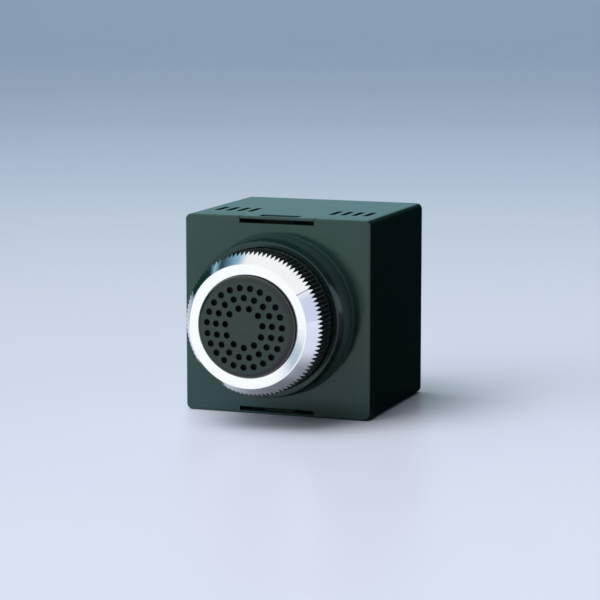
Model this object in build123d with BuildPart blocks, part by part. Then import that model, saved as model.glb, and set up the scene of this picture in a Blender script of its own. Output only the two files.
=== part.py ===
"""Acoustic pedestrian push button: a moulded cube with a perforated push disc in a rotary dial.

Frame: +Z up, -Y is the front that faces the pedestrian, +X is to the right seen from the front.
The origin lies under the middle of the whole object, on the surface that it stands on.
Pieces are placed by their stand (mm in front of the cover's face) or their depth (mm behind it).
"""
import os
from math import acos, atan2, cos, degrees, hypot, pi, radians, sin, sqrt, tan

from build123d import *

os.makedirs("parts", exist_ok=True)

# ------------------------------------------------------------------ driving dimensions (mm)

# Box
body_width = 98.0
body_height = 100.0
body_depth = 86.0
wall = 3.0
corner_r = 3.0            # the four long edges
edge_r = 1.0              # round of the front and back outlines
inner_corner_r = 0.8

# Front cover
cover_plate = 3.0
cover_depth = 8.0         # how far the cover's skirt reaches back to the parting line
rim_gap = 0.3             # locating rim to the housing's inside
rim_wall = 3.0
rim_depth = 13.0
parting_bevel = 0.4
gasket_t = 1.0
ledge_t = 2.0

# Snap tongues, top and bottom
tongue_width = 39.0
tongue_t = 1.3
tongue_gap = 2.2          # slot for the screwdriver between the tongue and the cover
tongue_side_gap = 0.3
catch_width = 16.0
catch_start = 4.0
catch_length = 2.0
catch_bite = 0.8
catch_gap = 0.4
catch_root = 0.2          # how far the catch is rooted in the tongue
thumb_width = 21.0
thumb_start = 2.0
thumb_end = 9.0
thumb_deep = 0.7

# Vents in the top
vent_width = 3.0
vent_length = 16.0
vent_start = 19.0
vent_pitch = 5.95
vent_first = 21.9         # first slot of each group from the middle plane
vents_per_side = 4

# Dial, its collar and its bearing
axis_rise = 1.0           # dial's axis above the box's middle
collar_r = 40.3           # at its base
collar_stand = 18.0
collar_wall = 3.0
collar_lip = 2.5
collar_lip_gap = 0.6
collar_base_fillet = 0.25
collar_edge_r = 0.5
barrel_start = 6.0        # the collar's side is straight up to here and then curves in
barrel_r = 48.0
dial_r = 35.6             # tips of the knurl
dial_wall = 6.1
rim_stand = 31.3          # where the bright cone meets the knurl
rim_land = 0.6
crest_r = 30.3
crest_stand = 40.5
crest_land = 0.5          # narrow flat turned on the crest
lip_stand = 40.1          # inner edge of the bright ring's front
trim_bore_r = 25.5
trim_lip = 1.5
register_r = 31.0
register_h = 1.0
knurl_count = 98
knurl_deep = 1.6
knurl_land = 0.26
knurl_end = 19.6
tube_r = 33.0             # the dial's journal in the cover
journal_gap = 0.08        # running fit
washer_t = 0.5
washer_gap = 0.3
axial_play = 0.2
index_angle = 57.0        # index line, clockwise from the top
index_width = 0.55
index_deep = 0.3
index_inset = 0.2         # how much shorter it is than the cone
dial_gap = 0.4            # dial's bore to the fixed guide tube

# Gears
module = 1.0
gear_teeth = 72
pinion_teeth = 16
gear_t = 4.0
backlash = 0.14
pressure_angle = 20.0

# Push disc
disc_r = 25.1
disc_stand = 45.0         # crown of its face
disc_dome = 1.1           # from the crown down to the rounded edge
disc_t = 2.4              # at the edge
disc_edge_r = 2.8
disc_skirt = 1.8
travel = 2.5
flange_r = 27.0
flange_t = 2.0
flange_gap = 0.3
stop_gap = 0.1
hole_r = 1.65
hole_rings = ((9.75, 11, -90.0), (14.6, 17, 90.0), (19.45, 23, -91.3))   # radius, count, first
boss_r = 4.0
key_count = 3
key_width = 3.0
key_deep = 1.0
key_gap = 0.3
key_root = 0.4            # how far a key is rooted in the tube's wall
key_over = 1.0            # key runs on past the flange when the disc is in
mesh_t = 0.4
clamp_t = 1.5
clamp_width = 2.2

# Guide tube and its hub
retainer_t = 1.5
retainer_gap = 0.5        # retainer to the turning trim ring
retainer_skirt = 2.5
retainer_wall = 0.9
tube_flange_r = 36.0
tube_flange_t = 2.5
hub_r = 9.5
hub_front = 21.0
hub_length = 11.0
hub_wall = 1.0
arm_width = 2.5
arm_length = 6.0
arm_count = 3
arm_inset = 2.0           # arms' front behind the hub's
fused = 0.7               # overlap by which arms run into the pieces they join

# Return spring
spring_r = 5.6
spring_wire = 0.9
spring_turns = 5

# Switch
switch_side = 11.0
switch_length = 8.6
switch_play = 0.5         # under the plunger when it is fully in
plunger_chamfer = 0.3
terminal_width = 0.6
terminal_height = 3.0
terminal_length = 3.5
plunger_r = 1.8
plunger_gap = 0.3
plunger_stand = 24.0      # where the plunger meets the push disc's boss
plunger_length = 9.0

# Chassis plate and posts
chassis_depth = 16.0
chassis_t = 1.5
chassis_gap = 0.2
chassis_corner_r = 3.0
post_r = 3.4
post_inset = 6.4          # post centre from the locating rim's inside
side_post = 13.0          # the two posts beside the potentiometer, from the middle
post_gap = 0.5            # these two stand this far inside the locating rim

# Loudspeaker
speaker_r = 33.0
speaker_gasket_t = 0.8
speaker_flange_t = 0.8
glue_width = 3.0          # gasket ring, outside the surround
ear_r = 4.0
ear_reach = 36.5
basket_deep = 15.0
basket_neck_r = 16.0
window_length = 22.0
window_width = 8.0
basket_t = 0.8
basket_step = 3.2         # straight part under the surround
surround_t = 0.5
roll_width = 3.0
roll_deep = 1.5
roll_flat = 1.2           # the pleat's floor
cone_r = 24.5
cone_deep = 9.0
cone_t = 0.6
cone_hem = 1.2            # flat edge that is glued to the surround
dome_rise = 3.0           # dust cap
coil_r = 6.8
coil_t = 0.4
air_gap = 0.3
plate_t = 3.0
magnet_r = 20.0
magnet_t = 8.0
damper_rise = 4.0         # spider above the basket's floor
damper_t = 0.4
damper_wave = 0.9
damper_waves = 3
damper_glue = 0.1
plate_lip = 1.0           # top plate shows this much inside the basket
magnet_gap = 2.0          # magnet's bore outside the air gap
magnet_chamfer = 0.6

# Potentiometer
pot_r = 10.5
pot_length = 19.0
bushing_r = 4.75
bushing_stand = 4.0
shaft_r = 3.175
shaft_gap = 0.08          # running fit
shaft_seat = 5.5          # shaft's length behind the chassis
shaft_end_gap = 0.5
pot_chamfer = 1.0
lug_pitch = 5.0
lug_width = 2.0
lug_t = 0.8
lug_length = 5.0
nut_r = 7.1
nut_t = 2.4
pot_washer_r = 7.3
pot_washer_t = 0.6
pinion_hub_r = 5.2
pinion_hub_l = 3.8
grub_gap = 0.05           # grub screw's tip to the shaft
grub_sink = 0.25          # grub screw's end below the hub's surface

# Screws
m2_r = 1.0
m2_head_r = 1.9
m2_head_h = 1.2
m3_r = 1.5
m3_head_r = 2.8
m3_head_h = 1.8
screw_gap = 0.15          # clearance holes
shank_gap = 0.02          # shank in a tapped hole
screw_bite = 6.0
tap_over = 0.5            # tapped holes run past the screw's end

# Circuit board
board_width = 72.0
board_height = 62.0
board_t = 1.6
standoff_h = 8.0
standoff_r = 3.5
standoff_inset = 5.0
board_corner_r = 2.0
ways = 6                  # terminal block
way_pitch = 5.08
block_margin = 0.5
block_inset = 2.0
block_deep = 10.0
block_high = 12.0
block_screw_r = 1.6
block_screw_t = 2.0
block_well_deep = 5.0
block_well_gap = 0.3
mouth_side = 3.4
mouth_rise = 4.0
mouth_deep = 6.0
sink_width = 34.0         # heat sink
sink_gap = 5.3            # its end to the loudspeaker's back
sink_base = 2.5
fin_count = 7
fin_length = 9.0
fin_t = 1.2
sink_x = -10.0
sink_z = 14.0
chip_width = 19.6
chip_high = 11.0
chip_t = 4.4
chip_rise = 4.0
pin_pitch = 2.54
pin_width = 0.8
pin_t = 0.6
pins_per_row = 7
cap_r = 5.0               # capacitors
cap_high = 16.0
cap_chamfer = 0.7
cap_count = 3
cap_pitch = 12.0
cap_x = -15.0
cap_z = -7.0
relay_width = 19.0
relay_deep = 15.0
relay_high = 15.5
relay_x = 18.0
relay_z = 14.0
relay_corner_r = 0.8
relay_chamfer = 0.6
control_width = 19.5
control_deep = 6.4
control_high = 3.4
control_x = 19.0
control_z = -7.0
control_rise = 0.5
control_row = 7.2
leg_width = 1.1
leg_deep = 0.9
leg_high = 2.4

# Back wall
mount_spacing_x = 70.0
mount_spacing_z = 70.0
mount_hole_r = 2.25
mount_boss_r = 5.0
mount_boss_h = 3.0
entry_z = 14.5
entry_bore_r = 4.0
entry_neck_r = 6.5
entry_flange_r = 8.5
entry_flange_t = 1.6
entry_boss_r = 10.5
entry_boss_h = 2.5
rib_t = 1.5
rib_h = 2.0

# ------------------------------------------------------------------ worked-out places

total_depth = body_depth + disc_stand
face_y = disc_stand - total_depth / 2         # the cover's front face
axis_z = body_height / 2 + axis_rise
inner_width = body_width - 2 * wall
inner_height = body_height - 2 * wall
middle = -axis_rise                           # box centre seen from the dial's axis
rim_width = inner_width - 2 * rim_gap
rim_height = inner_height - 2 * rim_gap
pocket_width = rim_width - 2 * rim_wall       # clear space inside the locating rim
pocket_height = rim_height - 2 * rim_wall
guide_r = dial_r - dial_wall - dial_gap       # outside of the guide tube
guide_bore_r = flange_r + flange_gap
dial_bore_r = dial_r - dial_wall
trim_back = rim_stand - rim_land
journal_end = -(cover_plate + axial_play)     # stands behind the face are negative
gear_r = module * gear_teeth / 2
pinion_r = module * pinion_teeth / 2
centres = gear_r + pinion_r
# the pinion lies from the dial's axis towards the pocket's lower right corner
pinion_bearing = -degrees(atan2(pocket_height / 2 + axis_rise, pocket_width / 2))
pinion_x = centres * cos(radians(pinion_bearing))
pinion_z = centres * sin(radians(pinion_bearing))
disc_rim = disc_stand - disc_dome             # where the disc's rounded edge starts
disc_back = disc_rim - disc_t
retainer_back = lip_stand - trim_lip - retainer_t - retainer_gap
flange_front = retainer_back - stop_gap
chassis_back = -(chassis_depth + chassis_t)
board_depth = body_depth - wall - standoff_h - board_t
hole_span_x = board_width - 2 * standoff_inset
hole_span_z = board_height - 2 * standoff_inset
over = 1.0                                    # how far a cutting shape runs past its face
sliver = 0.01                                 # the same where room is short


def across(stand, x=0.0, z=0.0):
    """Plane square to the dial's axis at a stand from the face, x and z from that axis."""
    return Plane(origin=(x, face_y - stand, axis_z + z), x_dir=(1, 0, 0), z_dir=(0, -1, 0))


def turning(x=0.0, z=0.0):
    """Plane through a fore-and-aft axis: local x is the radius, local y the stand."""
    return Plane(origin=(x, face_y, axis_z + z), x_dir=(1, 0, 0), z_dir=(0, 0, -1))


def spindle(x=0.0, z=0.0):
    """The fore-and-aft axis that turned pieces are revolved about."""
    return Axis((x, face_y, axis_z + z), (0, -1, 0))


def on_edge(side, depth, inset):
    """A point (Y, Z) at a depth behind the face and an inset from the top (1) or bottom (-1)."""
    return (face_y + depth, body_height / 2 + side * (body_height / 2 - inset))


def around(radius, count, start=0.0):
    """Points on a circle about the dial's axis."""
    step = 360 / count
    return [
        (radius * cos(radians(start + i * step)), radius * sin(radians(start + i * step)))
        for i in range(count)
    ]


def gear_outline(teeth, turn):
    """Involute outline of a spur gear with a tooth centred on the direction `turn` (degrees)."""
    pitch_r = module * teeth / 2
    base_r = pitch_r * cos(radians(pressure_angle))
    root_r = pitch_r - 1.25 * module
    tip_r = pitch_r + module
    half_at_pitch = (pi * module / 2 - backlash / 2) / 2 / pitch_r
    involute_at_pitch = tan(radians(pressure_angle)) - radians(pressure_angle)

    def half_angle(r):
        flank = acos(min(1.0, base_r / r))
        return half_at_pitch + involute_at_pitch - (tan(flank) - flank)

    start_r = max(root_r, base_r)
    flank = [(root_r, half_angle(start_r))]
    if start_r > root_r:
        flank.append((start_r, half_angle(start_r)))
    flank += [(r, half_angle(r)) for r in (pitch_r, tip_r)]
    points = []
    for tooth in range(teeth):
        middle_angle = radians(turn) + tooth * 2 * pi / teeth
        for r, half in flank:
            points.append((r * cos(middle_angle - half), r * sin(middle_angle - half)))
        for r, half in reversed(flank):
            points.append((r * cos(middle_angle + half), r * sin(middle_angle + half)))
    return points


# ------------------------------------------------------------------ housing

# Five-sided moulded box, open at the front: the back wall carries the fixing holes and the board,
# and a spring tongue at the top and bottom reaches forward to hold the cover.
with BuildPart() as housing:
    with BuildSketch(across(-cover_depth)):
        with Locations((0, middle)):
            RectangleRounded(body_width, body_height, corner_r)
    extrude(amount=cover_depth - body_depth)
    fillet(housing.edges().group_by(Axis.Y)[-1], radius=edge_r)
    with BuildSketch(across(-cover_depth)):
        with Locations((0, middle)):
            RectangleRounded(inner_width, inner_height, inner_corner_r)
    extrude(amount=cover_depth + wall - body_depth, mode=Mode.SUBTRACT)
    # ledge that the gasket lies on
    with BuildSketch(across(-rim_depth - gasket_t)):
        with Locations((0, middle)):
            RectangleRounded(inner_width + over, inner_height + over, inner_corner_r)
            RectangleRounded(pocket_width, pocket_height, inner_corner_r, mode=Mode.SUBTRACT)
    extrude(amount=-ledge_t)
    # stiffening ribs along the side walls
    rib_start = rim_depth + gasket_t + ledge_t
    with BuildSketch(across(-rib_start)):
        for side in (-1, 1):
            with Locations(
                (side * (inner_width - rib_h) / 2, middle + body_height / 4),
                (side * (inner_width - rib_h) / 2, middle - body_height / 4),
            ):
                Rectangle(rib_h, rib_t)
    extrude(amount=rib_start + wall - body_depth)
    for side in (1, -1):
        # tongue, its catch and the thumb hollow, drawn from the side
        with BuildSketch(Plane.YZ):
            with BuildLine():
                Polyline(
                    on_edge(side, 0, edge_r),
                    on_edge(side, 0, tongue_t),
                    on_edge(side, cover_depth + over, tongue_t),
                    on_edge(side, cover_depth + over, 0),
                    on_edge(side, edge_r, 0),
                )
                ThreePointArc(
                    on_edge(side, edge_r, 0),
                    on_edge(side, edge_r * (1 - cos(pi / 4)), edge_r * (1 - sin(pi / 4))),
                    on_edge(side, 0, edge_r),
                )
            make_face()
        extrude(amount=tongue_width / 2, both=True)
        with BuildSketch(Plane.YZ):
            with BuildLine():
                catch_tip = tongue_t + tongue_gap + catch_bite
                Polyline(
                    on_edge(side, catch_start, tongue_t - catch_root),
                    on_edge(side, catch_start + catch_length / 2, catch_tip),
                    on_edge(side, catch_start + catch_length, catch_tip),
                    on_edge(side, catch_start + catch_length, tongue_t - catch_root),
                    close=True,
                )
            make_face()
        extrude(amount=catch_width / 2, both=True)
        with BuildSketch(Plane.YZ):
            with BuildLine():
                Polyline(
                    on_edge(side, thumb_start, 0),
                    on_edge(side, thumb_end, thumb_deep),
                    on_edge(side, thumb_end, -over),
                    on_edge(side, thumb_start, -over),
                    close=True,
                )
            make_face()
        extrude(amount=thumb_width / 2, both=True, mode=Mode.SUBTRACT)
    # vents: two groups of round-ended slots in the top wall
    with BuildSketch(Plane.XY.offset(body_height)):
        for side in (-1, 1):
            for i in range(vents_per_side):
                vent_x = side * (vent_first + i * vent_pitch)
                with Locations((vent_x, face_y + vent_start + vent_length / 2)):
                    SlotOverall(vent_length, vent_width, rotation=90)
    extrude(amount=-wall - over, mode=Mode.SUBTRACT)
    # back wall: bosses first, then the holes through them
    with BuildSketch(across(wall - body_depth)):
        with Locations((0, middle)):
            with GridLocations(mount_spacing_x, mount_spacing_z, 2, 2):
                Circle(mount_boss_r)
    extrude(amount=mount_boss_h)
    with BuildSketch(across(wall - body_depth)):
        with Locations((0, middle)):
            with GridLocations(hole_span_x, hole_span_z, 2, 2):
                Circle(standoff_r)
    extrude(amount=standoff_h)
    with BuildSketch(across(wall - body_depth)):
        with Locations((0, entry_z - axis_z)):
            Circle(entry_boss_r)
    extrude(amount=entry_boss_h)
    with BuildSketch(across(-body_depth)):
        with Locations((0, middle)):
            with GridLocations(mount_spacing_x, mount_spacing_z, 2, 2):
                Circle(mount_hole_r)
        with Locations((0, entry_z - axis_z)):
            Circle(entry_neck_r)
    extrude(amount=wall + mount_boss_h + over, mode=Mode.SUBTRACT)
    with BuildSketch(across(-body_depth)):
        with Locations((0, entry_z - axis_z)):
            Circle(entry_flange_r)
    extrude(amount=entry_flange_t, mode=Mode.SUBTRACT)
    with BuildSketch(across(wall + standoff_h - body_depth)):
        with Locations((0, middle)):
            with GridLocations(hole_span_x, hole_span_z, 2, 2):
                Circle(m3_r)
    extrude(amount=-screw_bite - tap_over, mode=Mode.SUBTRACT)
housing.part.label = "housing"
export_step(housing.part, "parts/housing.step")

# ------------------------------------------------------------------ front cover

corner_post_x = pocket_width / 2 - post_inset
corner_post_z = pocket_height / 2 - post_inset
edge_post_x = pocket_width / 2 - post_r - post_gap
edge_post_z = pocket_height / 2 - post_r - post_gap
post_points = [
    (-corner_post_x, middle + corner_post_z),
    (corner_post_x, middle + corner_post_z),
    (-corner_post_x, middle - corner_post_z),
    (edge_post_x, middle - side_post),
    (side_post, middle - edge_post_z),
]

# Moulded plate and skirt with the dial's collar in one piece. Inside are the locating rim and the
# posts that carry the chassis.
with BuildPart() as front_cover:
    with BuildSketch(across(0)):
        with Locations((0, middle)):
            RectangleRounded(body_width, body_height, corner_r)
    extrude(amount=-cover_depth)
    fillet(front_cover.edges().group_by(Axis.Y)[0], radius=edge_r)
    chamfer(front_cover.edges().group_by(Axis.Y)[-1], length=parting_bevel)
    with BuildSketch(across(-cover_depth)):
        with Locations((0, middle)):
            RectangleRounded(rim_width, rim_height, inner_corner_r)
    extrude(amount=cover_depth - rim_depth)
    with BuildSketch(across(-cover_plate)):
        with Locations((0, middle)):
            RectangleRounded(pocket_width, pocket_height, inner_corner_r)
    extrude(amount=cover_plate - rim_depth, mode=Mode.SUBTRACT)
    with BuildSketch(across(-cover_plate)):
        with Locations(*post_points):
            Circle(post_r)
    extrude(amount=cover_plate - chassis_depth)
    with BuildSketch(across(-chassis_depth)):
        with Locations(*post_points):
            Circle(m3_r)
    extrude(amount=screw_bite + tap_over, mode=Mode.SUBTRACT)
    # opening for the collar, then the collar itself
    with BuildSketch(across(over)):
        Circle(collar_r - collar_wall / 2)
    extrude(amount=-cover_plate - 2 * over, mode=Mode.SUBTRACT)
    with BuildSketch(turning()):
        with BuildLine():
            bore_r = tube_r + journal_gap
            lip_r = dial_r + collar_lip_gap
            pocket_r = collar_r - collar_wall
            barrel_end = collar_stand - collar_edge_r
            neck_r = collar_r - barrel_r + sqrt(barrel_r**2 - (barrel_end - barrel_start) ** 2)
            Polyline(
                (collar_r + collar_base_fillet, 0),
                (collar_r + collar_base_fillet, -cover_plate),
                (bore_r, -cover_plate),
                (bore_r, 0),
                (pocket_r, 0),
                (pocket_r, collar_stand - collar_lip),
                (lip_r, collar_stand - collar_lip),
                (lip_r, collar_stand),
                (neck_r - collar_edge_r, collar_stand),
            )
            RadiusArc((neck_r - collar_edge_r, collar_stand), (neck_r, barrel_end), collar_edge_r)
            RadiusArc((neck_r, barrel_end), (collar_r, barrel_start), barrel_r)
            Line((collar_r, barrel_start), (collar_r, collar_base_fillet))
            RadiusArc(
                (collar_r, collar_base_fillet),
                (collar_r + collar_base_fillet, 0),
                -collar_base_fillet,
            )
        make_face()
    revolve(axis=spindle())
    # notches for the tongues, with a pocket behind each for the catch
    for side in (1, -1):
        notch_deep = tongue_t + tongue_gap
        with BuildSketch(Plane.YZ):
            with BuildLine():
                Polyline(
                    on_edge(side, -over, -over),
                    on_edge(side, -over, notch_deep),
                    on_edge(side, cover_depth, notch_deep),
                    on_edge(side, cover_depth, -over),
                    close=True,
                )
            make_face()
        extrude(amount=tongue_width / 2 + tongue_side_gap, both=True, mode=Mode.SUBTRACT)
        with BuildSketch(Plane.YZ):
            with BuildLine():
                pocket_start = catch_start - catch_gap
                pocket_end = catch_start + catch_length + catch_gap
                Polyline(
                    on_edge(side, pocket_start, notch_deep - over),
                    on_edge(side, pocket_start, notch_deep + catch_bite + catch_gap),
                    on_edge(side, pocket_end, notch_deep + catch_bite + catch_gap),
                    on_edge(side, pocket_end, notch_deep - over),
                    close=True,
                )
            make_face()
        extrude(amount=catch_width / 2 + catch_gap, both=True, mode=Mode.SUBTRACT)
front_cover.part.label = "front_cover"
export_step(front_cover.part, "parts/front_cover.step")

# Flat rubber frame pinched between the locating rim and the housing's ledge
with BuildPart() as cover_gasket:
    with BuildSketch(across(-rim_depth)):
        with Locations((0, middle)):
            RectangleRounded(rim_width, rim_height, inner_corner_r)
            RectangleRounded(pocket_width, pocket_height, inner_corner_r, mode=Mode.SUBTRACT)
    extrude(amount=-gasket_t)
cover_gasket.part.label = "cover_gasket"
export_step(cover_gasket.part, "parts/cover_gasket.step")

# ------------------------------------------------------------------ dial

knurl_step = 2 * pi * dial_r / knurl_count
groove_half = (knurl_step - knurl_land) / 2
groove_over = 0.05
groove_wide = groove_half * (knurl_deep + groove_over) / knurl_deep

# V-shaped grooves of the straight knurl, shared by the black ring and the bright ring so that
# their teeth line up
with BuildSketch(Plane.XY) as knurl_grooves:
    with PolarLocations(dial_r, knurl_count):
        Polygon(
            (-knurl_deep, 0), (groove_over, groove_wide), (groove_over, -groove_wide), align=None
        )

# Knurled ring: turned aluminium, black anodised, with a journal that runs in the cover
with BuildPart() as knurled_ring:
    with BuildSketch(turning()):
        with BuildLine():
            Polyline(
                (dial_bore_r, trim_back + register_h),
                (register_r, trim_back + register_h),
                (register_r, trim_back),
                (dial_r, trim_back),
                (dial_r, washer_t),
                (tube_r, washer_t),
                (tube_r, journal_end),
                (dial_bore_r, journal_end),
                close=True,
            )
        make_face()
    revolve(axis=spindle())
    with BuildSketch(across(knurl_end)):
        add(knurl_grooves.sketch)
    extrude(amount=trim_back - knurl_end + sliver, mode=Mode.SUBTRACT)
    gear_screw_r = (dial_bore_r + tube_r) / 2
    with BuildSketch(across(journal_end)):
        with Locations(*around(gear_screw_r, 3, 90)):
            Circle(m2_r)
    extrude(amount=screw_bite, mode=Mode.SUBTRACT)
knurled_ring.part.label = "knurled_ring"
export_step(knurled_ring.part, "parts/knurled_ring.step")

# Trim ring: bright turned cone on the front of the dial; its rim is cut by the same knurl
with BuildPart() as trim_ring:
    with BuildSketch(turning()):
        with BuildLine():
            Polyline(
                (trim_bore_r, lip_stand),
                (crest_r - crest_land / 2, crest_stand),
                (crest_r + crest_land / 2, crest_stand),
                (dial_r, rim_stand),
                (dial_r, trim_back),
                (register_r, trim_back),
                (register_r, trim_back + register_h),
                (dial_bore_r, trim_back + register_h),
                (dial_bore_r, lip_stand - trim_lip),
                (trim_bore_r, lip_stand - trim_lip),
                close=True,
            )
        make_face()
    revolve(axis=spindle())
    with BuildSketch(across(trim_back - sliver)):
        add(knurl_grooves.sketch)
    extrude(amount=crest_stand - trim_back, mode=Mode.SUBTRACT)
    # index line down the cone
    cone_slope = atan2(crest_stand - rim_stand, dial_r - crest_r)
    cone_length = hypot(crest_stand - rim_stand, dial_r - crest_r)
    index_plane = Plane(
        origin=(0, face_y, axis_z),
        x_dir=(sin(radians(index_angle)), 0, cos(radians(index_angle))),
        z_dir=(cos(radians(index_angle)), 0, -sin(radians(index_angle))),
    )
    with BuildSketch(index_plane):
        with Locations(((crest_r + dial_r) / 2, (crest_stand + rim_stand) / 2)):
            Rectangle(cone_length - index_inset, 2 * index_deep, rotation=-degrees(cone_slope))
    extrude(amount=index_width / 2, both=True, mode=Mode.SUBTRACT)
trim_ring.part.label = "trim_ring"
export_step(trim_ring.part, "parts/trim_ring.step")

# Friction washer between the dial's shoulder and the cover
with BuildPart() as friction_washer:
    with BuildSketch(across(0)):
        Circle(collar_r - collar_wall - washer_gap)
        Circle(tube_r + washer_gap, mode=Mode.SUBTRACT)
    extrude(amount=washer_t)
friction_washer.part.label = "friction_washer"
export_step(friction_washer.part, "parts/friction_washer.step")

# Dial gear: acetal ring screwed to the journal's end, which also keeps the dial in the cover
gear_front = journal_end
gear_back = gear_front - gear_t
with BuildPart() as dial_gear:
    with BuildSketch(across(gear_front)):
        with BuildLine():
            Polyline(*gear_outline(gear_teeth, pinion_bearing), close=True)
        make_face()
        Circle(dial_bore_r, mode=Mode.SUBTRACT)
        with Locations(*around(gear_screw_r, 3, 90)):
            Circle(m2_r + screw_gap, mode=Mode.SUBTRACT)
    extrude(amount=-gear_t)
dial_gear.part.label = "dial_gear"
export_step(dial_gear.part, "parts/dial_gear.step")

with BuildPart() as gear_screws:
    with BuildSketch(across(gear_back)):
        with Locations(*around(gear_screw_r, 3, 90)):
            Circle(m2_r - shank_gap)
    extrude(amount=gear_t + screw_bite - tap_over)
    with BuildSketch(across(gear_back)):
        with Locations(*around(gear_screw_r, 3, 90)):
            Circle(m2_head_r)
    extrude(amount=-m2_head_h)
gear_screws.part.label = "gear_screws"
export_step(gear_screws.part, "parts/gear_screws.step")

# ------------------------------------------------------------------ push disc

# Perforated cap, moulded with a skirt, a stop flange and a central boss that works the switch
with BuildPart() as push_disc:
    with BuildSketch(turning()):
        with BuildLine():
            Polyline(
                (0, plunger_stand),
                (boss_r, plunger_stand),
                (boss_r, disc_back),
                (disc_r - disc_skirt, disc_back),
                (disc_r - disc_skirt, flange_front - flange_t),
                (flange_r, flange_front - flange_t),
                (flange_r, flange_front),
                (disc_r, flange_front),
                (disc_r, disc_rim - disc_edge_r),
            )
            face_r = disc_r - disc_edge_r
            crown_r = (face_r**2 + disc_dome**2) / (2 * disc_dome)
            RadiusArc((disc_r, disc_rim - disc_edge_r), (face_r, disc_rim), -disc_edge_r)
            RadiusArc((face_r, disc_rim), (0, disc_stand), -crown_r)
            Line((0, disc_stand), (0, plunger_stand))
        make_face()
    revolve(axis=spindle())
    with BuildSketch(across(disc_stand + over)):
        for ring_r, holes, first in hole_rings:
            with Locations(*around(ring_r, holes, first)):
                Circle(hole_r)
    extrude(amount=disc_back - disc_stand - 2 * over, mode=Mode.SUBTRACT)
    with BuildSketch(across(flange_front + sliver)):
        with PolarLocations(flange_r, key_count):
            Rectangle(2 * key_deep, key_width + 2 * key_gap)
    extrude(amount=-flange_t - 2 * sliver, mode=Mode.SUBTRACT)
push_disc.part.label = "push_disc"
export_step(push_disc.part, "parts/push_disc.step")

# Dust mesh behind the holes and the ring that holds it in the skirt
mesh_r = disc_r - disc_skirt
with BuildPart() as dust_mesh:
    with BuildSketch(across(disc_back)):
        Circle(mesh_r)
        Circle(boss_r, mode=Mode.SUBTRACT)
    extrude(amount=-mesh_t)
dust_mesh.part.label = "dust_mesh"
export_step(dust_mesh.part, "parts/dust_mesh.step")

with BuildPart() as mesh_clamp:
    with BuildSketch(across(disc_back - mesh_t)):
        Circle(mesh_r)
        Circle(mesh_r - clamp_width, mode=Mode.SUBTRACT)
    extrude(amount=-clamp_t)
mesh_clamp.part.label = "mesh_clamp"
export_step(mesh_clamp.part, "parts/mesh_clamp.step")

# Return spring of square wire between the hub and the push disc
spring_seat = hub_front + spring_wire / 2
spring_top = disc_back - mesh_t - spring_wire / 2
with BuildPart() as return_spring:
    with BuildLine() as coil_line:
        Helix(
            pitch=(spring_top - spring_seat) / spring_turns,
            height=spring_top - spring_seat,
            radius=spring_r,
            center=(0, face_y - spring_seat, axis_z),
            direction=(0, -1, 0),
        )
    with BuildSketch(Plane(origin=coil_line.line @ 0, z_dir=coil_line.line % 0)):
        Rectangle(spring_wire, spring_wire)
    sweep(path=coil_line.line, is_frenet=True)
return_spring.part.label = "return_spring"
export_step(return_spring.part, "parts/return_spring.step")

# ------------------------------------------------------------------ guide tube

tube_screw_r = (guide_r + tube_flange_r) / 2
tube_front = retainer_back
# Fixed moulded tube through the dial: it guides the push disc and holds the switch on three arms
with BuildPart() as guide_tube:
    with BuildSketch(turning()):
        with BuildLine():
            Polyline(
                (guide_bore_r, tube_front),
                (guide_r - retainer_wall, tube_front),
                (guide_r - retainer_wall, tube_front - retainer_skirt),
                (guide_r, tube_front - retainer_skirt),
                (guide_r, tube_flange_t - chassis_depth),
                (tube_flange_r, tube_flange_t - chassis_depth),
                (tube_flange_r, -chassis_depth),
                (guide_bore_r, -chassis_depth),
                close=True,
            )
        make_face()
    revolve(axis=spindle())
    # keys that stop the push disc from turning
    with BuildSketch(across(flange_front)):
        with PolarLocations(guide_bore_r - key_deep / 2 + key_root / 2, key_count):
            Rectangle(key_deep + key_root, key_width)
    extrude(amount=-flange_t - travel - key_over)
    # arms and hub
    with BuildSketch(across(hub_front - arm_inset)):
        with PolarLocations((guide_bore_r + hub_r) / 2, arm_count, start_angle=90):
            Rectangle(guide_bore_r - hub_r + 2 * fused, arm_width)
    extrude(amount=-arm_length)
    with BuildSketch(across(hub_front)):
        Circle(hub_r)
    extrude(amount=-hub_length)
    with BuildSketch(across(hub_front - hub_length)):
        Rectangle(switch_side, switch_side)
    extrude(amount=hub_length - hub_wall, mode=Mode.SUBTRACT)
    with BuildSketch(across(hub_front + over)):
        Circle(plunger_r + plunger_gap)
    extrude(amount=-hub_wall - 2 * over, mode=Mode.SUBTRACT)
    with BuildSketch(across(-chassis_depth)):
        with Locations(*around(tube_screw_r, 3, 90)):
            Circle(m2_r + screw_gap)
    extrude(amount=tube_flange_t, mode=Mode.SUBTRACT)
guide_tube.part.label = "guide_tube"
export_step(guide_tube.part, "parts/guide_tube.step")

# Snap ring on the tube's front, which the push disc's flange stops against
with BuildPart() as disc_retainer:
    with BuildSketch(turning()):
        with BuildLine():
            Polyline(
                (trim_bore_r, retainer_back + retainer_t),
                (guide_r, retainer_back + retainer_t),
                (guide_r, retainer_back - retainer_skirt),
                (guide_r - retainer_wall, retainer_back - retainer_skirt),
                (guide_r - retainer_wall, retainer_back),
                (trim_bore_r, retainer_back),
                close=True,
            )
        make_face()
    revolve(axis=spindle())
disc_retainer.part.label = "disc_retainer"
export_step(disc_retainer.part, "parts/disc_retainer.step")

# ------------------------------------------------------------------ switch

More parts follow.
